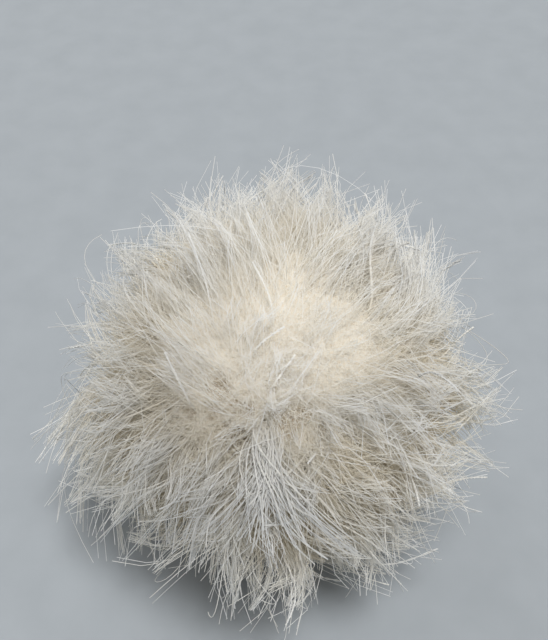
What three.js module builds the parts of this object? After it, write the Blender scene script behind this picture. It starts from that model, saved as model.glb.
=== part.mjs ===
// A fluffy faux fur pom pom, standing on its own crushed pile.
//
// Some hundreds of lengths of soft yarn are bound round the middle with one tight tie, cut at both
// ends and brushed out, so the ends stand away from the tie in every direction as one ball of pile.
// The pile gathers into tufts with partings between them, and each tuft into a few locks. The ball's
// own weight crushes the pile underneath, so it stands on a small flat foot, with the tie lower than
// half height.
//
// The part is one solid: the outer form of the pile, out to the ends of its tufts.
// Millimetres, +Z up, origin on the surface under the middle of the ball, front towards -Y.

import * as THREE from "three";

// Size over the tufts.
const WIDTH = 138;
const DEPTH = 136;
const HEIGHT = 122;

// Every length of yarn crosses at the tie, and the pile spreads from there.
const TIE_HEIGHT = 51;
const PILE_UNDERNEATH = 57; // reach of the pile straight down, before it is crushed

// The pile gathers at two scales. A clump is highest along its crest and falls away to the parting
// it shares with the next one; uneven is the most that one stands above or below the rest, and
// softness is how far a parting is rounded, all in mm. Shift is of the crest, in radians.
const TUFTS = { count: 72, shift: 0.14, fall: 12, uneven: 2.2, softness: 0.6, seed: 23 };
const LOCKS = { count: 300, shift: 0.07, fall: 4, uneven: 0.8, softness: 0.25, seed: 47 };
const SLOPE_CURVE = 1.4; // a clump's slope from crest to parting: 1 is a cone, 2 a dome

// Places where the pile stands out or parts, over a wider stretch than one tuft. Heading is round
// from the front, towards the right as seen from the front, and lift is above the tie; across and
// along are half its spread sideways and up and down, all in degrees. Stand is in mm.
const SWEEPS = [
  { name: "crown", heading: 180, lift: 84, stand: 3.5, across: 38, along: 34 },
  { name: "forelock", heading: -3, lift: 8, stand: 5, across: 9, along: 24 },
  { name: "left_wing", heading: -74, lift: 6, stand: 4, across: 22, along: 20 },
  { name: "right_wing", heading: 72, lift: 12, stand: 4, across: 24, along: 22 },
  { name: "left_front", heading: -34, lift: -8, stand: 3, across: 16, along: 18 },
  { name: "right_front", heading: 34, lift: 0, stand: 3.5, across: 16, along: 20 },
  { name: "back_left", heading: -140, lift: 10, stand: 3, across: 26, along: 30 },
  { name: "back_right", heading: 142, lift: -2, stand: 3.5, across: 28, along: 24 },
  { name: "left_parting", heading: -48, lift: 36, stand: -3.5, across: 9, along: 16 },
  { name: "right_parting", heading: 17, lift: 36, stand: -3, across: 8, along: 14 },
  { name: "lower_parting", heading: -18, lift: 20, stand: -3.5, across: 7, along: 15 },
  { name: "back_parting", heading: 176, lift: 22, stand: -3, across: 8, along: 22 },
];

// Partings close in the crushed pile underneath: they are gone where a direction from the tie falls
// more steeply than the first of these, and full where it falls less steeply than the second.
const CLOSED_BELOW = -0.93;
const OPEN_ABOVE = -0.7;

// Divisions along each edge of the icosahedron that the ball's surface is drawn on.
const SURFACE_DIVISIONS = 20;

const GOLDEN_ANGLE = Math.PI * (3 - Math.sqrt(5));
const IVORY = "#e9e2d4";

// A repeatable number from -1 to 1 for a clump and a purpose.
function scatter(index, purpose) {
  const wave = Math.sin(index * 12.9898 + purpose * 78.233) * 43758.5453;
  return 2 * (wave - Math.floor(wave)) - 1;
}

// Clumps lie on a spiral from top to bottom that turns by the golden angle each time, so they are
// evenly spaced, and each is then shifted a little from its even place.
function clumps({ count, shift, uneven, seed }) {
  return Array.from({ length: count }, (_, i) => {
    const level = 1 - (2 * i + 1) / count;
    const ring = Math.sqrt(1 - level * level);
    const turn = i * GOLDEN_ANGLE + seed;
    const crest = new THREE.Vector3(
      ring * Math.cos(turn) + shift * scatter(i, seed),
      ring * Math.sin(turn) + shift * scatter(i, seed + 1),
      level + shift * scatter(i, seed + 2),
    );
    return { crest: crest.normalize(), stand: uneven * scatter(i, seed + 3) };
  });
}

const tufts = clumps(TUFTS);
const locks = clumps(LOCKS);

// Height of the pile over its even form at one scale: the highest of all the clumps' slopes there,
// rounded where two of them cross so that a parting is a soft groove.
function clumpRelief(direction, members, { count, fall, softness }) {
  const spacing = Math.sqrt((4 * Math.PI) / count);
  let sum = 0;
  for (const member of members) {
    const away = direction.angleTo(member.crest) / spacing;
    sum += Math.exp((member.stand - fall * away ** SLOPE_CURVE) / softness);
  }
  return softness * Math.log(sum);
}

const sweeps = SWEEPS.map((row) => {
  const heading = THREE.MathUtils.degToRad(row.heading);
  const lift = THREE.MathUtils.degToRad(row.lift);
  const outwards = new THREE.Vector3(Math.sin(heading), -Math.cos(heading), 0);
  const middle = outwards.multiplyScalar(Math.cos(lift)).setZ(Math.sin(lift));
  const sideways = new THREE.Vector3(Math.cos(heading), Math.sin(heading), 0);
  const upwards = middle.clone().cross(sideways);
  const across = Math.sin(THREE.MathUtils.degToRad(row.across));
  const along = Math.sin(THREE.MathUtils.degToRad(row.along));
  return { middle, sideways, upwards, across, along, stand: row.stand };
});

// Height of the wide sweeps: each a smooth mound or hollow on its own side of the ball.
function sweepRelief(direction) {
  let relief = 0;
  for (const sweep of sweeps) {
    if (direction.dot(sweep.middle) <= 0) continue;
    const a = direction.dot(sweep.sideways) / sweep.across;
    const b = direction.dot(sweep.upwards) / sweep.along;
    relief += sweep.stand * Math.exp(-a * a - b * b);
  }
  return relief;
}

// Distance from the tie to the even form of the pile: half an ellipsoid above the tie's level and a
// shallower half below it.
function evenReach(direction) {
  const rise = direction.z > 0 ? HEIGHT - TIE_HEIGHT : PILE_UNDERNEATH;
  return 1 / Math.hypot(direction.x / (WIDTH / 2), direction.y / (DEPTH / 2), direction.z / rise);
}

// Distance from the tie to where a ray in one direction leaves the pile.
function pileReach(direction) {
  const relief =
    clumpRelief(direction, tufts, TUFTS) +
    clumpRelief(direction, locks, LOCKS) +
    sweepRelief(direction);
  const open = THREE.MathUtils.smoothstep(direction.z, CLOSED_BELOW, OPEN_ABOVE);
  return evenReach(direction) + open * relief;
}

// The ball's surface as a closed net of small triangles, with the tie at the origin.
function pileSurface() {
  const geometry = new THREE.IcosahedronGeometry(1, SURFACE_DIVISIONS - 1);
  geometry.deleteAttribute("normal");
  geometry.deleteAttribute("uv");
  const position = geometry.getAttribute("position");
  const direction = new THREE.Vector3();
  for (let i = 0; i < position.count; i++) {
    direction.fromBufferAttribute(position, i).normalize();
    const reach = pileReach(direction);
    position.setXYZ(i, direction.x * reach, direction.y * reach, direction.z * reach);
  }
  return geometry;
}

// Brings the surface to its size over the tufts, then crushes the pile underneath: a ray that would
// end below the foot stops there instead.
function standOnFoot(geometry) {
  geometry.computeBoundingBox();
  const { min, max } = geometry.boundingBox;
  geometry.translate(-(min.x + max.x) / 2, -(min.y + max.y) / 2, 0);
  geometry.scale(WIDTH / (max.x - min.x), DEPTH / (max.y - min.y), (HEIGHT - TIE_HEIGHT) / max.z);
  const position = geometry.getAttribute("position");
  const point = new THREE.Vector3();
  for (let i = 0; i < position.count; i++) {
    point.fromBufferAttribute(position, i);
    const crushed = point.z < -TIE_HEIGHT;
    if (crushed) point.multiplyScalar(TIE_HEIGHT / -point.z);
    position.setXYZ(i, point.x, point.y, crushed ? 0 : point.z + TIE_HEIGHT);
  }
  geometry.computeVertexNormals();
  return geometry;
}

const pile = new THREE.Mesh(
  standOnFoot(pileSurface()),
  new THREE.MeshStandardMaterial({ color: IVORY, roughness: 0.95, metalness: 0 }),
);
pile.name = "pile";

const pomPom = new THREE.Group();
pomPom.add(pile);

export default pomPom;
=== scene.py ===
"""A fluffy faux fur pom pom: a ball of cut, brushed-out acrylic yarn, standing on its crushed pile.

Strands run outwards, away from the tie at the ball's heart, from in or near a dense middle. The longer
ones end near the outer form of the pile, which is the CAD node `pile`. Lengths are in metres, +Z up,
front towards -Y.
"""

import math

import bpy
import numpy as np
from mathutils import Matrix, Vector


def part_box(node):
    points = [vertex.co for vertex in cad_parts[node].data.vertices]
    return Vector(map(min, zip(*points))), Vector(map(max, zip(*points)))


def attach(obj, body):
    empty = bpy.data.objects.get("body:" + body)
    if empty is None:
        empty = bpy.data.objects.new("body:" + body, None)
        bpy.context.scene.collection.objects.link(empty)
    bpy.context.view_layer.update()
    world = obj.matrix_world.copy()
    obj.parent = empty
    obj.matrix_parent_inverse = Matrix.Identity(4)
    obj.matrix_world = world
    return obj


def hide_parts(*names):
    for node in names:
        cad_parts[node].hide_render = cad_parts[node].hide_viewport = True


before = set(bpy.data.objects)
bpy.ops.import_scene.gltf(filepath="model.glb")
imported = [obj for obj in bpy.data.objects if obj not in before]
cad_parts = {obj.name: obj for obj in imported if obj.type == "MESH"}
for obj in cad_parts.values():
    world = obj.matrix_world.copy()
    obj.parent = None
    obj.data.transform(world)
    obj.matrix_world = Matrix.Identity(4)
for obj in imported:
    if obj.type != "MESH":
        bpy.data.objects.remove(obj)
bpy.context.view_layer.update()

MM = 0.001
LOW, HIGH = (np.array(corner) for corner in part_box("pile"))
TIE = np.array([0.0, 0.0, 0.42 * HIGH[2]])  # below mid-height, because the pile sags
UP = np.array([0.0, 0.0, 1.0])
GOLDEN_ANGLE = math.pi * (3 - math.sqrt(5))
PART_SIZE = 2000  # directions worked out at a time, to save memory
rng = np.random.default_rng(5)

# The pile is cut yarn ends, which gather into tufts. Angles are in degrees. Tables give a value at each
# height over the tie on the unit sphere, or at each cosine of the angle from the middle of the crown,
# where the pile is brushed out softest, with straight lines between. Two numbers that go with a random
# draw are its least and its most, or for a place or a stand its mean and its spread.
PARTING = (-5, 46)  # heading round from the front towards the right, and lift above the tie
CROWN = (-5, 70)  # heading and lift of the crown's middle
SMOOTHING = 5  # angle over which the outer form is evened out before the pile follows it

# Yarn ends
END_COUNT = 1700
END_SHIFT = 1.2  # from an even spread over the ball
END_RADIUS = 2.6 * MM  # of one brushed-out yarn end where it leaves the dense middle
END_SECTION_REACH = 0.75  # share of the mean reach at which it has that radius
END_LEAN = 4.5
END_BOW, END_CURL = 2.2 * MM, 4.5 * MM  # how far it bends at its middle and turns aside at its tip
END_STAND = (0.97, 0.06)  # how far the yarn ends stand, as shares of the outer form's reach
ENDS_KEPT = (  # by height: the share of the yarn ends that shows, because the foot is crushed
    (-0.9, 0.4), (-0.3, 0.5), (0.0, 0.65), (0.2, 0.85), (0.35, 1.0),
)
LOWEST_STAND = ((0.35, 0.78), (0.88, 0.98))  # by the crown, as a share of the reach
HIGHEST_STAND = 1.06
FOOT_STAND, FOOT_HEIGHT = 0.05, 0.3  # how much lower they stand that far below the tie and beyond
EDGE_STAND = 0.05  # how much lower the edge of a yarn end's section stands than its middle

# Tufts
TUFT_COUNT = 140
TUFT_SHIFT = 3
TUFT_LEAN = 6
TUFT_BOW, TUFT_CURL = 2.8 * MM, 6.0 * MM
TUFT_STAND = (1, 0.04)
TUFT_PULL = ((0.35, 0.55), (0.8, 0.3))  # how far a yarn end is drawn from its own place to its tuft's crest
LEAN_PULL = 2  # how far the tuft's own lean draws its yarn ends, against its crest
SLOPE_PULL = 0.15  # how far the outer form's rise to a crest does
GATHERED = ((0.25, 0.85), (0.85, 0.65))  # share of the yarn ends whose fibres still cling together at the tip
CLING = 0.08  # how far the fibres of such a one spread, against the others'
GATHERED_RANK = (0.65, 0.85)  # where in the kind's range of tips they all end

# Lie of the pile
SWEEP = 0.55  # how far the pile is swept over the ball away from its parting, in radians
SWEEP_FADE = 1.5  # how quickly that fades out towards the far side
SWEEP_SHARES, SWEEP_SHIFT = (0.7, 1.25), 3  # from tuft to tuft, and from one yarn end to the next
DRIFT, DRIFT_WAVES = 0.02, 6  # how far wide drifts lean, and how many waves they are the sum of
DRIFT_PACE, DRIFT_PHASES = 2.4, 3  # how quickly the waves go round, and how far apart they start, in radians
HOLLOW = (0, 14, 20, 0.1)  # heading, lift, radius and depth of the hollow that the forelock falls over
TURN_POWER = 1.5  # a fibre keeps its root's direction at first, and turns most near its tip
SWAY, OWN_SWAY = 0.25, 0.4  # how far a fibre sways, as shares of its yarn end's curl and of its own bow
DROOP_SHARES = (0.3, 1.7)  # of its kind's droop, from one fibre to the next
ON_FLOOR = (0.3 * MM, 2.5 * MM)  # height of the fibres that lie on the floor

# Dense middle
PACKED = ((0.4, 0.62), (0.88, 0.85))  # share of the outer form's reach that it fills
MIDDLE_SWELL = -0.4  # how much less it stands up where the outer form does
MIDDLE_RINGS, MIDDLE_SIDES = 100, 140
GAP_COUNT = 24  # gaps along the parting, where the dense middle dips and a painted tan shade darkens it
GAP_HEADINGS, GAP_LIFTS = (-3, 20), (46, 6)
GAP_RADII, GAP_DEPTHS = (1.4, 2.8), (0.05, 0.13)  # in degrees, and as shares of the middle's reach
DEEPEST_GAP = 0.18  # where several run together

# How the crown differs from the sides
SOFTER = ((0.3, 0.15), (0.7, 0.88), (0.92, 0.96))  # how far fibres lose the roundness that they would show
FINER = ((0.35, 1.0), (0.8, 0.7), (0.95, 0.45))  # how fine and calm the pile is brushed out
CROWN_EDGE = (0.35, 0.85)  # cosines over which the number of fibres changes
FACING_SLOPE = 0.35  # how far the pile's facing follows the outer form's slope

# Kinds of fibre. Each is how many a yarn end has, at the sides and at the crown. Root and tips are
# shares of the distance from the tie to the outer form, or for pointed kinds of the part of it that the dense
# middle fills.
# Skew thins out the longer ones, and swell is how much more the kind stands up where that distance is
# long. Fan is how wide the yarn end is at its tip, against its root; comb is how fully the fibre
# follows its yarn end; lean is how far it strays and stray the share that strays further; bow, curl
# and droop are how far the middle bends, the tip turns aside and the tip falls, in mm; hook is how far
# it turns back inwards. Tones run from 0, yellower, to 1, white. Soft is how far the fibre is lit as
# the pile round it is, rather than by its own roundness, which stands for the light that fine fibres
# pass on to each other. Width is in mm. Real fibres of this yarn are 0.02 to 0.05 mm, too fine to
# show, so each one here stands for the few that cling to it.
ASTRAY = 4  # how many times as far the stray ones stray
TAPER = 0.8  # width at the tip, against the root
FUZZ_COUNT = 54000
FUZZ_SHIFT = 0.7
FUZZ = dict(
    root=0.86, tips=(1.0, 1.13), swell=MIDDLE_SWELL, comb=0.9, lean=6, stray=0.06,
    bow=1.0, curl=0.8, droop=0.5, hook=0,
    width=(0.07, 0.15), segments=2, pointed=True, tones=(0.4, 0.8), soft=0.6,
)
MAIN_PILE = dict(
    each=(11, 8), root=0.6, tips=(0.84, 1.04), skew=1.2, swell=0.15,
    fan=(0.6, 1.5), comb=1.0, lean=4, stray=0.08, bow=1.8, curl=3.2, droop=2.0, hook=0,
    width=(0.15, 0.28), segments=6, pointed=False, tones=(0.3, 1.0), soft=0.05,
)
LONG_PILE = dict(
    each=(2, 2), root=0.6, tips=(0.97, 1.13), skew=1.3, swell=0.0,
    fan=(0.6, 1.5), comb=0.9, lean=5, stray=0.15, bow=2.4, curl=5.5, droop=3.5, hook=0,
    width=(0.18, 0.3), segments=6, pointed=False, tones=(0.5, 1.0), soft=0.05,
)
FLYAWAY_COUNT = 170
FLYAWAYS = dict(
    each=(1, 1), root=0.7, tips=(1.03, 1.15), skew=1.0, swell=0.0,
    fan=(0.5, 2.0), comb=0.8, lean=7, stray=0.4, bow=2.5, curl=5.0, droop=3.0, hook=2,
    width=(0.18, 0.28), segments=12, pointed=False, tones=(0.4, 1.0), soft=0.05,
)

# Yarn ends that kept their twist, of two plies.
YARN_TIP_COUNT = 150
YARN_TIPS = dict(
    each=(1, 0.3), root=0.7, tips=(0.99, 1.07), skew=1.0, swell=0.0,
    fan=(0.2, 0.6), comb=0.9, lean=4, stray=0.1, bow=1.0, curl=2.0, droop=2.5, hook=0,
    width=(0.28, 0.44), segments=36, pointed=False, tones=(0.5, 0.9), soft=0.1,
)
YARN_TWIST = 2.2 * MM  # length along the yarn of one turn of its plies
PLY_SPACING = 0.9  # how far a ply's middle is from the yarn's, in its own radii
PLY_START = (0.3, 0.2, 1.0)  # the direction square to which the first ply starts

# The tangle of short curled fibres round and over the parting.
TANGLE_COUNT = 1700
TANGLE_PLACE, TANGLE_SPREAD = (-4, 51), 14  # heading and lift, and spread
TANGLE = dict(
    root=0.9, tips=(1.0, 1.09), swell=MIDDLE_SWELL, lean=12, bow=2.0, curl=3.5, droop=0.0, hook=2,
    width=(0.08, 0.14), segments=6, pointed=True, tones=(0.4, 0.9), soft=0.95,
)

# The forelock: longer yarn ends that part from the crown and fall together down the front. Each has
# its tip's heading, lift and share of the reach.
FORELOCK_TIPS = (
    (-15, 13, 1.06), (-9, 23, 1.02), (-7, 15, 1.05), (-3, 14, 1.07), (1, 19, 1.05), (5, 18, 1.07),
    (8, 25, 1.03), (13, 11, 1.07), (16, 6, 1.07),
)
# Its tones are the whitest, a painted light for the light it catches where it stands out of the pile.
FORELOCK = dict(
    fibres=12, root=0.76, root_lean=1.0, tip_lean=0.9, swell=0.0, bow=1.5, curl=1.1, droop=0.0, hook=0,
    width=(0.16, 0.3), segments=9, pointed=False, tones=(0.85, 1.0), soft=0.15,
)
FORELOCK_ROOTS = 0.04  # how far apart its yarn ends start, as a share of how far apart they end
FORELOCK_RISE = 0.5  # below 1 it rises out of the pile before it falls
FORELOCK_CORE = (-3, 28)  # heading and lift where its yarn ends run closest together
FORELOCK_DRAW = 0.65  # how far they are drawn to it
FORELOCK_BOW, FORELOCK_CURL = 0.8 * MM, 3.0 * MM  # of each yarn end
FORELOCK_SHARES = (0.94, 1)  # how evenly its fibres are cut
FORELOCK_YARNS = 2  # beside each of its yarn ends
THIN_YARN = YARN_TIPS | {"width": (0.2, 0.32)}


# Directions and the form of the ball


def unit(vectors):
    """Each vector divided by its own length."""
    return vectors / np.linalg.norm(vectors, axis=-1, keepdims=True)


def across(directions):
    """For each direction, two unit vectors square to it and to each other: level, then upwards."""
    level = unit(np.cross(UP, directions) + [1e-9, 0, 0])
    return level, np.cross(directions, level)


def scattered(directions, spread):
    """Random vectors square to each direction, normally spread."""
    level, upwards = across(directions)
    amount = rng.normal(0, 1, (2, len(directions), 1)) * spread
    return amount[0] * level + amount[1] * upwards


def tipped(directions, degrees):
    """Each direction tipped aside at random, normally spread with so many degrees."""
    return unit(directions + scattered(directions, np.radians(degrees)))


def between(span, place):
    """The number that lies that far from the first of two to the second."""
    return span[0] + (span[1] - span[0]) * place


def by_height(directions, table):
    """The table's value at each direction's height."""
    return np.interp(directions[:, 2], *zip(*table))


def by_crown(directions, table):
    """The table's value at the cosine of each direction's angle from the middle of the crown."""
    return np.interp(directions @ CROWN, *zip(*table))


def even_directions(count):
    """Directions spread evenly: level falls in equal steps and each turns by the golden angle."""
    index = np.arange(count)
    level = 1 - (2 * index + 1) / count
    ring = np.sqrt(1 - level**2)
    turn = index * GOLDEN_ANGLE
    return np.stack([ring * np.cos(turn), ring * np.sin(turn), level], axis=1)


def towards(heading, lift):
    """Unit vectors at a heading round from the front and a lift above level, in degrees."""
    heading, lift = np.radians(heading), np.radians(lift)
    return np.stack([np.sin(heading) * np.cos(lift), -np.cos(heading) * np.cos(lift), np.sin(lift)], axis=-1)


def outer_points():
    """The corners of the CAD solid, each once, from the tie."""
    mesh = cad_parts["pile"].data
    points = np.empty(3 * len(mesh.vertices))
    mesh.vertices.foreach_get("co", points)
    return np.unique(points.reshape(-1, 3).round(6), axis=0) - TIE


OUTER = outer_points().astype(np.float32)
OUTER_DIRECTIONS = unit(OUTER)
OUTER_REACH = np.linalg.norm(OUTER, axis=1)
PARTING, CROWN = towards(*PARTING), towards(*CROWN)


def make_gaps():
    """Direction, radius and depth of each gap in the dense middle."""
    headings, lifts = rng.normal(*GAP_HEADINGS, GAP_COUNT), rng.normal(*GAP_LIFTS, GAP_COUNT)
    radii = np.radians(rng.uniform(*GAP_RADII, GAP_COUNT))
    return towards(headings, lifts), radii, rng.uniform(*GAP_DEPTHS, GAP_COUNT)


GAPS = make_gaps()


def parted(directions):
    """How deep the gaps part the dense middle, as a share of its reach: the sum over the gaps of each
    one's depth times exp(-a squared), with a the angle from it over its radius."""
    places, radii, depths = GAPS
    aside = np.arccos(np.clip(directions @ places.T, -1, 1)) / radii
    return (depths * np.exp(-aside**2)).sum(axis=1).clip(0, DEEPEST_GAP)


def packed(directions):
    """The share of the outer form's reach that the dense middle fills, less its gaps."""
    return by_crown(directions, PACKED) * (1 - parted(directions))


def reach_and_slope(directions):
    """Distance from the tie to the outer form in each direction, and its slope along the sphere.

    The distance is the mean of the solid's corners' distances, weighted by exp(k (cos a - 1)) with a
    the angle to the corner and k one over the smoothing angle squared; the slope is that mean's
    derivative over the mean, and points to the nearest tuft's crest.
    """
    k = np.float32(1 / math.radians(SMOOTHING) ** 2)
    directions = directions.astype(np.float32)
    reach = np.empty(len(directions))
    slope = np.empty((len(directions), 3))
    for part in np.array_split(np.arange(len(directions)), 1 + len(directions) // PART_SIZE):
        weight = np.exp(k * (directions[part] @ OUTER_DIRECTIONS.T - 1))
        total = weight.sum(axis=1, keepdims=True)
        mean = weight @ OUTER_REACH[:, None] / total
        rising = weight @ (OUTER_REACH[:, None] * OUTER_DIRECTIONS) / total
        level = weight @ OUTER_DIRECTIONS / total
        reach[part] = mean[:, 0]
        slope[part] = k * (rising - mean * level) / mean
    slope -= (slope * directions).sum(axis=1, keepdims=True) * directions
    return reach, slope


def drift(directions):
    """How the pile lies in wide drifts over the ball, as sideways vectors: a sum of sine waves, each
    across its own direction and leaning its own way."""
    waves = np.random.default_rng(8).normal(0, 1, (DRIFT_WAVES, 2, 3))
    push = 0
    for wave, way in waves:
        push += np.sin(DRIFT_PACE * directions @ wave[:, None] + DRIFT_PHASES * way[0]) * way
    return DRIFT * (push - (push * directions).sum(axis=1, keepdims=True) * directions)


def swept(directions):
    """How far the pile is swept away from its parting, as sideways vectors: with the sine of the
    angle from the parting, fading out towards the far side with a power of (1 + its cosine) / 2."""
    near = directions @ PARTING[:, None]
    return SWEEP * ((1 + near) / 2) ** SWEEP_FADE * (near * directions - PARTING)


def make_ends():
    """Each yarn end's direction at the root and at the tip, how far it stands, as a share, how far
    its fibres spread at the tip, as a share, and how far it bows and curls.

    The yarn ends stand evenly over the ball, and fewer of them show low down. A tip's direction is its
    place plus a share of the way to the crest of the nearest tuft and of that tuft's lean, a share of
    the form's slope, and the drift. A root's is its place less the sweep. A tuft's ends stand, lean,
    bow and curl together, more evenly and calmly towards the middle of the crown.
    """
    places = tipped(even_directions(END_COUNT), END_SHIFT)
    places = places[rng.random(END_COUNT) < by_height(places, ENDS_KEPT)]
    tufts = tipped(even_directions(TUFT_COUNT), TUFT_SHIFT)
    nearest = (places @ tufts.T).argmax(axis=1)
    lean = (tipped(tufts, TUFT_LEAN) - tufts)[nearest]
    _, slope = reach_and_slope(places)
    pull = by_crown(places, TUFT_PULL)[:, None] * (tufts[nearest] - places + LEAN_PULL * lean)
    tips = tipped(unit(places + pull + SLOPE_PULL * slope + drift(places)), END_LEAN)
    shares = rng.uniform(*SWEEP_SHARES, (TUFT_COUNT, 1))[nearest]
    sweep = tipped(unit(places + swept(places) * shares), SWEEP_SHIFT) - places
    roots = unit(places - sweep)
    stand = rng.normal(*TUFT_STAND, TUFT_COUNT)[nearest] * rng.normal(*END_STAND, len(places))
    stand *= 1 - FOOT_STAND * np.clip(-places[:, 2] / FOOT_HEIGHT, 0, 1)
    heading, lift, radius, hollow = HOLLOW
    aside = np.arccos(np.clip(places @ towards(heading, lift), -1, 1)) / math.radians(radius)
    stand *= 1 - hollow * np.exp(-aside**2)
    gather = np.where(rng.random(len(places)) < by_crown(places, GATHERED), CLING, 1.0)
    calm = by_crown(tips, FINER)[:, None]
    bow = calm * (scattered(tips, END_BOW) + scattered(tufts, TUFT_BOW)[nearest])
    curl = calm * (scattered(tips, END_CURL) + scattered(tufts, TUFT_CURL)[nearest])
    stand = np.clip(stand, by_crown(places, LOWEST_STAND), HIGHEST_STAND)
    return roots, tips, stand, gather[:, None], bow, curl


END_ROOTS, END_TIPS, END_STANDS, END_GATHER, END_BOWS, END_CURLS = make_ends()


# Strands


def lines(root, tip, kind, share, rise=1.0, bow=0.0, curl=0.0, loose=1.0):
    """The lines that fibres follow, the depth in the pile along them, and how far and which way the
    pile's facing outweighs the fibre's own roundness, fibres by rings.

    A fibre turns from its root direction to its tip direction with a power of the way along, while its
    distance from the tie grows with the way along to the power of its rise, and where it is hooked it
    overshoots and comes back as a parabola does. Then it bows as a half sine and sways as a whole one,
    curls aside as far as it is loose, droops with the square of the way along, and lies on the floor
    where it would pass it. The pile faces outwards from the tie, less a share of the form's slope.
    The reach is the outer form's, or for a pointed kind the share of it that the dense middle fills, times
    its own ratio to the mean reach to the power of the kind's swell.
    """
    count = len(root)
    along = np.linspace(0, 1, kind["segments"] + 1)[None, :, None]
    turn = along**TURN_POWER
    direction = unit(root[:, None] * (1 - turn) + tip[:, None] * turn)
    middle = unit(root + tip)
    reach, slope = reach_and_slope(middle)
    if kind["pointed"]:
        reach *= packed(middle)
    reach *= (reach / OUTER_REACH.mean()) ** kind["swell"]
    hook = kind["hook"] * rng.random((count, 1, 1)) ** 2
    highest = (1 + np.maximum(hook, 1)) ** 2 / (4 * np.maximum(hook, 1))
    climb = (along**rise + hook * along * (1 - along)) / highest
    depth = kind["root"] + (share[:, None, None] - kind["root"]) * climb
    points = TIE + direction * depth * reach[:, None, None]
    points += np.sin(math.pi * along) * (bow + scattered(tip, kind["bow"] * MM))[:, None]
    sway = SWAY * np.cross(tip, np.broadcast_to(curl, tip.shape))
    sway += scattered(tip, OWN_SWAY * kind["bow"] * MM)
    points += np.sin(2 * math.pi * along) * sway[:, None]
    points += along**2 * (curl + loose * scattered(tip, kind["curl"] * MM))[:, None]
    level = 1 - tip[:, None, 2:] ** 2
    points -= UP * along**2 * kind["droop"] * MM * rng.uniform(*DROOP_SHARES, (count, 1, 1)) * level
    points[..., 2] = np.maximum(points[..., 2], rng.uniform(*ON_FLOOR, (count, 1)))
    if kind["pointed"]:
        depth = depth * packed(middle)[:, None, None]
    soft = np.maximum(kind["soft"], by_crown(middle, SOFTER))[:, None, None]
    facing = unit(direction - FACING_SLOPE * slope[:, None]) * soft / (1 - soft)
    return points, depth[..., 0], facing


def end_lines(kind, chosen=None):
    """Lines for a kind of fibre, so many to each yarn end, or to each of the chosen ones, spread
    over the yarn end's round section.

    A fibre keeps its place in the section as it goes out, drawn in or spread by the fan, and the
    section's edge stands a little lower than its middle. Where the yarn end is gathered, the fibres
    come together at its tip and end side by side.
    """
    end = np.arange(len(END_ROOTS)) if chosen is None else chosen
    each = np.interp(END_TIPS[end] @ CROWN, CROWN_EDGE, kind["each"]) + rng.uniform(0, 1, len(end))
    end = np.repeat(end, each.astype(int))
    count = len(end)
    level, upwards = across(END_ROOTS[end])
    gather = END_GATHER[end]
    out = np.sqrt(rng.random((count, 1)))
    turn = rng.uniform(0, 2 * math.pi, (count, 1))
    section = END_RADIUS / (END_SECTION_REACH * OUTER_REACH.mean())
    place = section * out * (np.cos(turn) * level + np.sin(turn) * upwards)
    fan = gather * rng.uniform(*kind["fan"], (count, 1))
    astray = np.where(rng.random((count, 1)) < kind["stray"], ASTRAY, 1)
    combed = END_ROOTS[end] + kind["comb"] * (END_TIPS[end] - END_ROOTS[end])
    tip = tipped(unit(combed + fan * place), kind["lean"] * astray * gather)
    rank = rng.random(count) ** kind["skew"]
    rank = np.where(gather[:, 0] < 1, between(GATHERED_RANK, rank), rank)
    share = between(kind["tips"], rank) * END_STANDS[end]
    share *= 1 - EDGE_STAND * out[:, 0] ** 2 * gather[:, 0]
    root = unit(END_ROOTS[end] + place)
    return lines(root, tip, kind, share, bow=END_BOWS[end], curl=END_CURLS[end], loose=gather)


def fuzz_lines():
    """Lines of the fuzz, spread evenly over the ball, that lean as the yarn end nearest to each
    does."""
    root = tipped(even_directions(FUZZ_COUNT), FUZZ_SHIFT)
    parts = np.array_split(root, 1 + FUZZ_COUNT // PART_SIZE)
    nearest = np.concatenate([(part @ END_ROOTS.T).argmax(axis=1) for part in parts])
    astray = np.where(rng.random((FUZZ_COUNT, 1)) < FUZZ["stray"], ASTRAY, 1)
    combed = root + FUZZ["comb"] * (END_TIPS - END_ROOTS)[nearest]
    share = rng.uniform(*FUZZ["tips"], FUZZ_COUNT)
    return lines(root, tipped(unit(combed), FUZZ["lean"] * astray), FUZZ, share)


def tangle_lines():
    """Lines of the tangle, normally spread over its place, each turned aside at random."""
    root = tipped(np.tile(towards(*TANGLE_PLACE), (TANGLE_COUNT, 1)), TANGLE_SPREAD)
    return lines(root, tipped(root, TANGLE["lean"]), TANGLE, rng.uniform(*TANGLE["tips"], TANGLE_COUNT))


def forelock_lines(each, segments):
    """Lines of the forelock, so many to each of its yarn ends: they rise out of the parting first
    and then fall over it, drawn together on the way, and spread again to their tips."""
    heading, lift, reach = np.repeat(np.array(FORELOCK_TIPS), each, axis=0).T
    tip = tipped(towards(heading, lift), FORELOCK["tip_lean"])
    root = tipped(FORELOCK_ROOTS * tip + (1 - FORELOCK_ROOTS) * PARTING, FORELOCK["root_lean"])
    crests = towards(*np.array(FORELOCK_TIPS).T[:2])
    bow, curl = (np.repeat(scattered(crests, size), each, axis=0) for size in (FORELOCK_BOW, FORELOCK_CURL))
    bow += FORELOCK_DRAW * OUTER_REACH.mean() * (towards(*FORELOCK_CORE) - unit(root + tip))
    share = reach * rng.uniform(*FORELOCK_SHARES, len(reach))
    kind = FORELOCK | {"segments": segments}
    return lines(root, tip, kind, share, rise=FORELOCK_RISE, bow=bow, curl=curl)


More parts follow.
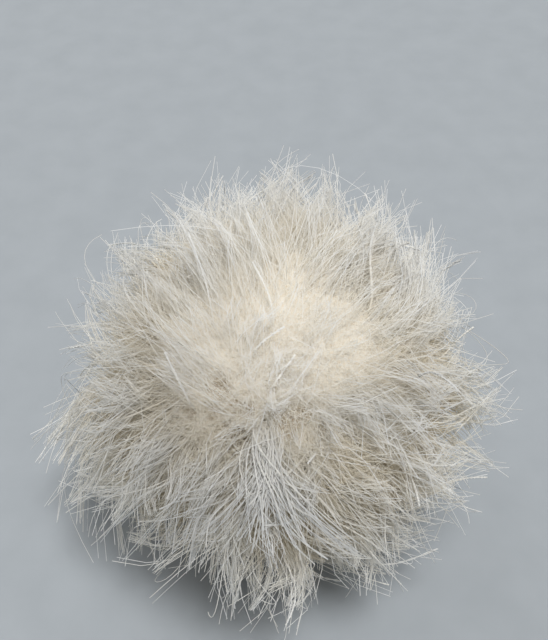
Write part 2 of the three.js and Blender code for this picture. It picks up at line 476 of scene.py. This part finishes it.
# The map's v is the depth in the pile, and the fibre colour along it is partly painted shade: tan and darker
# towards the bottom.
MAP_LOW, MAP_HIGH = 0.55, 1.2  # depths at the bottom and top of the map
MAP_TOP, MAP_END = 0.97, 0.02  # highest place of a wall in the map, and half the height of a cut end
TONES = 12  # columns of the map
TONE_EDGE, END_WIDTH = 0.06, 0.45  # a column's bare edge, and half the width of a cut end, in columns
STRAND_SIDES = 3
PIECE_TRIANGLES = 196000  # the most in one piece of strands


def tubes(name, points, radii, depth, facing, kind, tone, material):
    """Closed tubes, one along each line, from a point at the root to a flat end or a point at the
    tip.

    A ring's corners stand at even turns round the line, square to it, at the ring's own radius. In
    the map, u goes round the tube inside the column of its tone, and v is the depth in the pile.
    The corners are lit between square to the tube and the way the pile faces.
    """
    sides = STRAND_SIDES
    count, rings = points.shape[0], wall_rings(points, kind)
    heading = unit(np.gradient(points, axis=1))[:, 1:rings + 1]
    aside = unit(np.cross(heading, rng.normal(0, 1, (count, 1, 3))))
    above = np.cross(heading, aside)
    turn = np.arange(sides)[:, None] * 2 * math.pi / sides
    offsets = np.cos(turn) * aside[:, :, None] + np.sin(turn) * above[:, :, None]
    walls = points[:, 1:rings + 1, None] + radii[..., None] * offsets
    corners = [points[:, :1], walls.reshape(count, -1, 3)]
    lit = [unit(facing[:, :1]), unit(offsets + facing[:, 1:rings + 1, None]).reshape(count, -1, 3)]

    side = np.arange(sides)
    after = (side + 1) % sides
    ring = 1 + sides * np.arange(rings)[:, None]
    root = np.stack([0 * side, ring[0] + after, ring[0] + side], axis=-1)
    wall = np.stack([ring[:-1] + side, ring[:-1] + after, ring[1:] + after, ring[1:] + side], axis=-1)
    left, right = side / sides, (side + 1) / sides
    root_u = np.stack([(left + right) / 2, right, left], axis=-1)
    wall_u = np.tile(np.stack([left, right, right, left], axis=-1).ravel(), rings - 1)
    wall_ring = (np.arange(1, rings)[:, None, None] + [0, 0, 1, 1] + 0 * side[:, None]).ravel()
    if kind["pointed"]:
        corners.append(points[:, -1:])
        lit.append(unit(facing[:, -1:]))
        end = np.stack([0 * side + sides * rings + 1, ring[-1] + side, ring[-1] + after], axis=-1)
        end_u, end_ring = root_u[:, [0, 2, 1]], np.tile([rings + 1, rings, rings], sides)
        end_sizes = [3] * sides
    else:
        end, end_ring, end_sizes = ring[-1] + side, [rings] * sides, [sides]
        end_u = 0.5 + END_WIDTH * np.cos(turn)
    corners, lit = np.concatenate(corners, axis=1), np.concatenate(lit, axis=1)
    corner_index = np.concatenate([root.ravel(), wall.ravel(), end.ravel()])
    sizes = np.concatenate([np.full(sides, 3), np.full(wall[..., 0].size, 4), end_sizes])
    ring_index = np.concatenate([np.tile([0, 1, 1], sides), wall_ring, end_ring])
    v = np.clip((depth - MAP_LOW) / (MAP_HIGH - MAP_LOW), 0, MAP_TOP)[:, ring_index]
    if not kind["pointed"]:
        v[:, -sides:] += MAP_END * np.sin(turn[:, 0])
    round_u = np.concatenate([root_u.ravel(), wall_u, end_u.ravel()])
    u = (tone[:, None] + TONE_EDGE + (1 - 2 * TONE_EDGE) * round_u) / TONES

    mesh = bpy.data.meshes.new(name)
    mesh.vertices.add(corners.shape[0] * corners.shape[1])
    mesh.vertices.foreach_set("co", corners.ravel())
    mesh.loops.add(count * len(corner_index))
    first = np.arange(count)[:, None] * corners.shape[1]
    mesh.loops.foreach_set("vertex_index", (first + corner_index).ravel())
    mesh.polygons.add(count * len(sizes))
    starts = np.cumsum(np.concatenate([[0], np.tile(sizes, count)[:-1]]))
    mesh.polygons.foreach_set("loop_start", starts)
    mesh.polygons.foreach_set("use_smooth", np.ones(len(starts), bool))
    mesh.update(calc_edges=True)
    mesh.uv_layers.new(name="OFBake").data.foreach_set("uv", np.stack([u, v], axis=-1).ravel())
    mesh.attributes.new("custom_normal", "FLOAT_VECTOR", "POINT").data.foreach_set("vector", lit.ravel())
    return place_piece(name, mesh, material)


def wall_rings(points, kind):
    """The number of rings of corners along a line: all but its root, and its tip where it is pointed."""
    return points.shape[1] - (2 if kind["pointed"] else 1)


def tones(kind, count):
    """A tone column for each fibre, within the kind's range of tones."""
    return np.floor(rng.uniform(*kind["tones"], count) * (TONES - 0.01))


def strands(name, points, depth, facing, kind, material):
    """A mass of fibres along these lines, in as few pieces as their triangles allow. They taper
    evenly, and are finer over the crown."""
    count, rings = points.shape[0], wall_rings(points, kind)
    finer = by_crown(unit(points[:, -1] - TIE), FINER)[:, None, None]
    taper = np.linspace(1, TAPER, rings)[None, :, None] * finer
    radii = 0.5 * MM * rng.uniform(*kind["width"], (count, 1, 1)) * taper
    tone = tones(kind, count)
    triangles = 2 * STRAND_SIDES * rings - (0 if kind["pointed"] else 2)
    pieces = math.ceil(count * triangles / PIECE_TRIANGLES)
    for i, part in enumerate(np.array_split(rng.permutation(count), pieces)):
        suffix = f"_{i + 1}" if pieces > 1 else ""
        tubes(name + suffix, points[part], radii[part], depth[part], facing[part], kind, tone[part], material)


def twisted_yarns(name, points, depth, facing, kind, material):
    """Yarn ends that kept their twist: two plies wound round each line as a double helix, a turn to
    each twist's length, that lie against each other along the line."""
    heading = unit(np.gradient(points, axis=1))
    aside = unit(np.cross(heading, PLY_START))
    above = np.cross(heading, aside)
    steps = np.linalg.norm(np.diff(points, axis=1, prepend=points[:, :1]), axis=-1)
    angle = 2 * math.pi * np.cumsum(steps, axis=1)[..., None] / YARN_TWIST
    radius = 0.5 * MM * rng.uniform(*kind["width"], (len(points), 1, 1))
    helix = PLY_SPACING * radius * (np.cos(angle) * aside + np.sin(angle) * above)
    both = (np.concatenate([part, part]) for part in (radius, depth, facing, tones(kind, len(points))))
    plies = np.concatenate([points + helix, points - helix])
    radii, depths, facings, tone = both
    tubes(name, plies, radii, depths, facings, kind, tone, material)


def place_piece(name, mesh, material):
    """An object for a finished mesh, which rides the one body and replaces the CAD solid."""
    piece = bpy.data.objects.new(name, mesh)
    bpy.context.scene.collection.objects.link(piece)
    mesh.materials.append(material)
    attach(piece, "root")
    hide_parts("pile")
    return piece


# Materials


def linear(hex_colour):
    """An sRGB hex colour as linear red, green, blue and alpha."""
    parts = [int(hex_colour[i:i + 2], 16) / 255 for i in (1, 3, 5)]
    return [p / 12.92 if p <= 0.04045 else ((p + 0.055) / 1.055) ** 2.4 for p in parts] + [1.0]


def add(tree, kind, links=(), **settings):
    """A new node of that kind, with its settings by attribute or input name, and its links."""
    node = tree.nodes.new(kind)
    for name, value in settings.items():
        socket = node.inputs.get(name.replace("_", " "))
        if socket is None:
            setattr(node, name, value)
        else:
            socket.default_value = value
    for socket, source in links:
        tree.links.new(source, node.inputs[socket])
    return node


def ramp(tree, source, stops):
    """A colour for a number, from stops that each have a place and a colour."""
    node = add(tree, "ShaderNodeValToRGB", [("Fac", source)])
    elements = node.color_ramp.elements
    while len(elements) < len(stops):
        elements.new(0.5)
    for element, (place, colour) in zip(elements, stops):
        element.position = place
        element.color = linear(colour)
    return node.outputs["Color"]


def tinted(tree, base, tint, factor):
    """One colour multiplied by another, as far as the factor goes."""
    node = add(tree, "ShaderNodeMix", data_type="RGBA", blend_type="MULTIPLY")
    node.inputs["Factor"].default_value = factor
    tree.links.new(base, node.inputs[6])
    tree.links.new(tint, node.inputs[7])
    return node.outputs[2]


def new_material(name):
    """An empty node material, and its tree."""
    material = bpy.data.materials.new(name)
    material.use_nodes = True
    material.node_tree.nodes.clear()
    return material, material.node_tree


def surface(tree, links, **settings):
    """The shader and the output that finish a material."""
    shader = add(tree, "ShaderNodeBsdfPrincipled", links, **settings)
    add(tree, "ShaderNodeOutputMaterial", [("Surface", shader.outputs["BSDF"])])


# Single packed fibres are too fine to show, so the matted pile's pattern is drawn as coarse as the
# small clumps that they stick together in.
CLUMP_WIDTH, CLUMP_DEPTH = MM / 1.4, 0.5 * MM  # 0.7 mm across, and how far the clumps stand out
CLUMP_LENGTH = 8  # in widths
CARD_MOTTLE = MM * 50 / 3  # 17 mm from patch to patch


def brushed_fibre():
    """Single fibres of brushed-out acrylic: spun smooth, so faintly silky. They are cream, with painted shade
    that makes them darker and tan deeper in the pile, and cooler white towards the cut ends. Some are
    yellower than others."""
    material, tree = new_material("brushed_acrylic_fibre")
    place = add(tree, "ShaderNodeUVMap", uv_map="OFBake").outputs["UV"]
    split = add(tree, "ShaderNodeSeparateXYZ", [("Vector", place)])
    # Painted shade: the colour runs with depth in the pile, from tan deep down, where the pile shades itself,
    # through cream to white near the cut ends.
    body = ramp(tree, split.outputs["Y"], [
        (0.05, "#dac9a5"), (0.28, "#f1e5cb"), (0.42, "#fbf5e7"), (0.58, "#f9f8f3"), (0.75, "#f8f9f8"),
    ])
    tone_colour = ramp(tree, split.outputs["X"], [(0.0, "#f8f2e4"), (0.5, "#fcf9f3"), (1.0, "#ffffff")])
    surface(
        tree, [("Base Color", tinted(tree, body, tone_colour, 0.9))],
        Roughness=0.55, IOR=1.49, Sheen_Weight=0.3, Sheen_Roughness=0.5,
    )
    return material


def matted_pile():
    """The dense middle of the pile, where acrylic fibres are packed into small clumps combed outwards:
    soft, matt and a warmer cream, warmed partly as painted shade of the deep pile, with painted tan shade in
    its gaps."""
    material, tree = new_material("matted_acrylic_pile")
    place = add(tree, "ShaderNodeTexCoord").outputs["Object"]
    combed = add(
        tree, "ShaderNodeMapping", [("Vector", place)], vector_type="TEXTURE",
        Rotation=Vector(PARTING).to_track_quat("Z", "Y").to_euler(), Scale=(1, 1, CLUMP_LENGTH),
    ).outputs["Vector"]
    clumps = add(
        tree, "ShaderNodeTexNoise", [("Vector", combed)],
        Scale=1 / CLUMP_WIDTH, Detail=4.0, Roughness=0.6, Distortion=0.8,
    ).outputs["Fac"]
    colour = ramp(tree, clumps, [(0.3, "#f3e3c8"), (0.5, "#f9efdc"), (0.7, "#fcf6ea")])
    gaps = add(tree, "ShaderNodeAttribute", attribute_name="parted").outputs["Fac"]
    # Painted shade: the gaps are darkened to tan, the more the deeper they are.
    colour = tinted(tree, colour, ramp(tree, gaps, [(0.02, "#ffffff"), (0.11, "#cfac74")]), 1.0)
    bump = add(tree, "ShaderNodeBump", [("Height", clumps)], Strength=0.6, Distance=CLUMP_DEPTH)
    links = [("Base Color", colour), ("Normal", bump.outputs["Normal"])]
    surface(tree, links, Roughness=0.9, Sheen_Weight=0.3)
    return material


# The dense middle


def dense_middle(material):
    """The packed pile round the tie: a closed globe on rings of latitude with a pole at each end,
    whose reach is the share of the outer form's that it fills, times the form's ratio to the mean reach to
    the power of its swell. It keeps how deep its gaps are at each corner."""
    lift = np.linspace(-math.pi / 2, math.pi / 2, MIDDLE_RINGS + 2)[1:-1]
    turn = np.arange(MIDDLE_SIDES) * 2 * math.pi / MIDDLE_SIDES
    lift, turn = np.meshgrid(lift, turn, indexing="ij")
    globe = np.stack([np.cos(lift) * np.cos(turn), np.cos(lift) * np.sin(turn), np.sin(lift)], axis=-1)
    directions = np.concatenate([globe.reshape(-1, 3), [-UP, UP]])
    reach, _ = reach_and_slope(directions)
    reach *= packed(directions) * (reach / OUTER_REACH.mean()) ** MIDDLE_SWELL
    points = TIE + directions * reach[:, None]
    index = np.arange(MIDDLE_RINGS * MIDDLE_SIDES).reshape(MIDDLE_RINGS, MIDDLE_SIDES)
    beside = np.roll(index, -1, axis=1)
    walls = np.stack([index[:-1], beside[:-1], beside[1:], index[1:]], axis=-1).reshape(-1, 4)
    south, north = index.size, index.size + 1
    bottom = np.stack([np.full(MIDDLE_SIDES, south), beside[0], index[0]], axis=1)
    top = np.stack([np.full(MIDDLE_SIDES, north), index[-1], beside[-1]], axis=1)
    mesh = bpy.data.meshes.new("dense_middle")
    mesh.from_pydata(points.tolist(), [], walls.tolist() + bottom.tolist() + top.tolist())
    mesh.polygons.foreach_set("use_smooth", np.ones(len(mesh.polygons), bool))
    # The gaps' depth goes to the material, which paints shade in them.
    mesh.attributes.new("parted", "FLOAT", "POINT").data.foreach_set("value", parted(directions))
    return place_piece("dense_middle", mesh, material)


# Studio


FLOOR_HALF = 3.0
LAMPS = (  # name, direction that the light comes from, strength and width as seen from the object in degrees
    ("key", (0.16, -0.18, 1.0), 2.25, 20),
    ("back", (-0.6, 0.8, 0.6), 0.5, 60),
)
FILL = 0.3  # strength of the even light from all round
PILE_BOUNCES = 8  # light that comes out of pale pile has bounced many times in it
LENS = 50  # in mm
VIEW_DOWN, VIEW_DISTANCE = 47, 278 * MM  # how steeply the camera looks down, in degrees, and from how far
AIM_LEFT, AIM_ABOVE = 1.2 * MM, 18 * MM  # where it aims, against the middle of the ball


def card():
    """A matt painted card for the floor, with a faint mottle."""
    material, tree = new_material("pale_studio_card")
    place = add(tree, "ShaderNodeTexCoord").outputs["Object"]
    grain = add(tree, "ShaderNodeTexNoise", [("Vector", place)], Scale=1 / CARD_MOTTLE, Detail=3.0)
    colour = ramp(tree, grain.outputs["Fac"], [(0.3, "#a4aaaf"), (0.7, "#a9afb4")])
    surface(tree, [("Base Color", colour)], Roughness=0.8)
    return material


def surroundings():
    """An even light from all round, in front of which the camera and gloss see a pale backdrop."""
    world = bpy.data.worlds.new("studio")
    bpy.context.scene.world = world
    world.use_nodes = True
    tree = world.node_tree
    tree.nodes.clear()
    path = add(tree, "ShaderNodeLightPath").outputs
    seen = add(tree, "ShaderNodeMath", operation="ADD")
    tree.links.new(path["Is Camera Ray"], seen.inputs[0])
    tree.links.new(path["Is Glossy Ray"], seen.inputs[1])
    seen_through = add(tree, "ShaderNodeMath", operation="ADD", use_clamp=True)
    tree.links.new(seen.outputs[0], seen_through.inputs[0])
    tree.links.new(path["Is Transmission Ray"], seen_through.inputs[1])
    light = add(tree, "ShaderNodeBackground", Color=linear("#ecebe9"), Strength=FILL)
    backdrop = add(tree, "ShaderNodeBackground", Color=linear("#b3b9be"), Strength=1.0)
    mix = add(tree, "ShaderNodeMixShader", [("Fac", seen_through.outputs[0])])
    tree.links.new(light.outputs[0], mix.inputs[1])
    tree.links.new(backdrop.outputs[0], mix.inputs[2])
    add(tree, "ShaderNodeOutputWorld", [("Surface", mix.outputs[0])])


def studio():
    """The floor, the surroundings and the lamps."""
    scene = bpy.context.scene
    scene.view_settings.view_transform = "Standard"
    scene.cycles.diffuse_bounces = PILE_BOUNCES
    mesh = bpy.data.meshes.new("floor")
    near, far = -FLOOR_HALF, FLOOR_HALF
    mesh.from_pydata([(near, near, 0), (far, near, 0), (far, far, 0), (near, far, 0)], [], [(0, 1, 2, 3)])
    mesh.materials.append(card())
    floor = bpy.data.objects.new("floor", mesh)
    scene.collection.objects.link(floor)
    surroundings()
    for name, source, strength, width in LAMPS:
        lamp = bpy.data.lights.new(name, "SUN")
        lamp.energy = strength
        lamp.angle = math.radians(width)
        light = bpy.data.objects.new(name, lamp)
        light.location = Vector(source)
        light.rotation_euler = Vector(source).to_track_quat("Z", "Y").to_euler()
        scene.collection.objects.link(light)


def camera():
    """A camera that looks down on the front of the ball."""
    down = math.radians(VIEW_DOWN)
    gaze = Vector((0, math.cos(down), -math.sin(down)))
    upwards = Vector((0, math.sin(down), math.cos(down)))
    middle = Vector((0, 0, (LOW[2] + HIGH[2]) / 2))
    target = middle + upwards * AIM_ABOVE - Vector((AIM_LEFT, 0, 0))
    lens = bpy.data.cameras.new("camera")
    lens.lens = LENS
    lens.clip_start = 10 * MM
    viewer = bpy.data.objects.new("camera", lens)
    viewer.location = target - gaze * VIEW_DISTANCE
    viewer.rotation_euler = gaze.to_track_quat("-Z", "Y").to_euler()
    bpy.context.scene.collection.objects.link(viewer)
    bpy.context.scene.camera = viewer


fibre = brushed_fibre()
dense_middle(matted_pile())
strands("fuzz", *fuzz_lines(), FUZZ, fibre)
for name, kind in (("main_pile", MAIN_PILE), ("long_pile", LONG_PILE)):
    strands(name, *end_lines(kind), kind, fibre)
strands("tangle", *tangle_lines(), TANGLE, fibre)
flyaway_ends = rng.choice(len(END_ROOTS), FLYAWAY_COUNT)
strands("flyaways", *end_lines(FLYAWAYS, flyaway_ends), FLYAWAYS, fibre)
strands("forelock", *forelock_lines(FORELOCK["fibres"], FORELOCK["segments"]), FORELOCK, fibre)
twisted_ends = rng.choice(len(END_ROOTS), YARN_TIP_COUNT)
twisted_yarns("yarn_tips", *end_lines(YARN_TIPS, twisted_ends), YARN_TIPS, fibre)
twisted_yarns("forelock_yarns", *forelock_lines(FORELOCK_YARNS, THIN_YARN["segments"]), THIN_YARN, fibre)
studio()
camera()
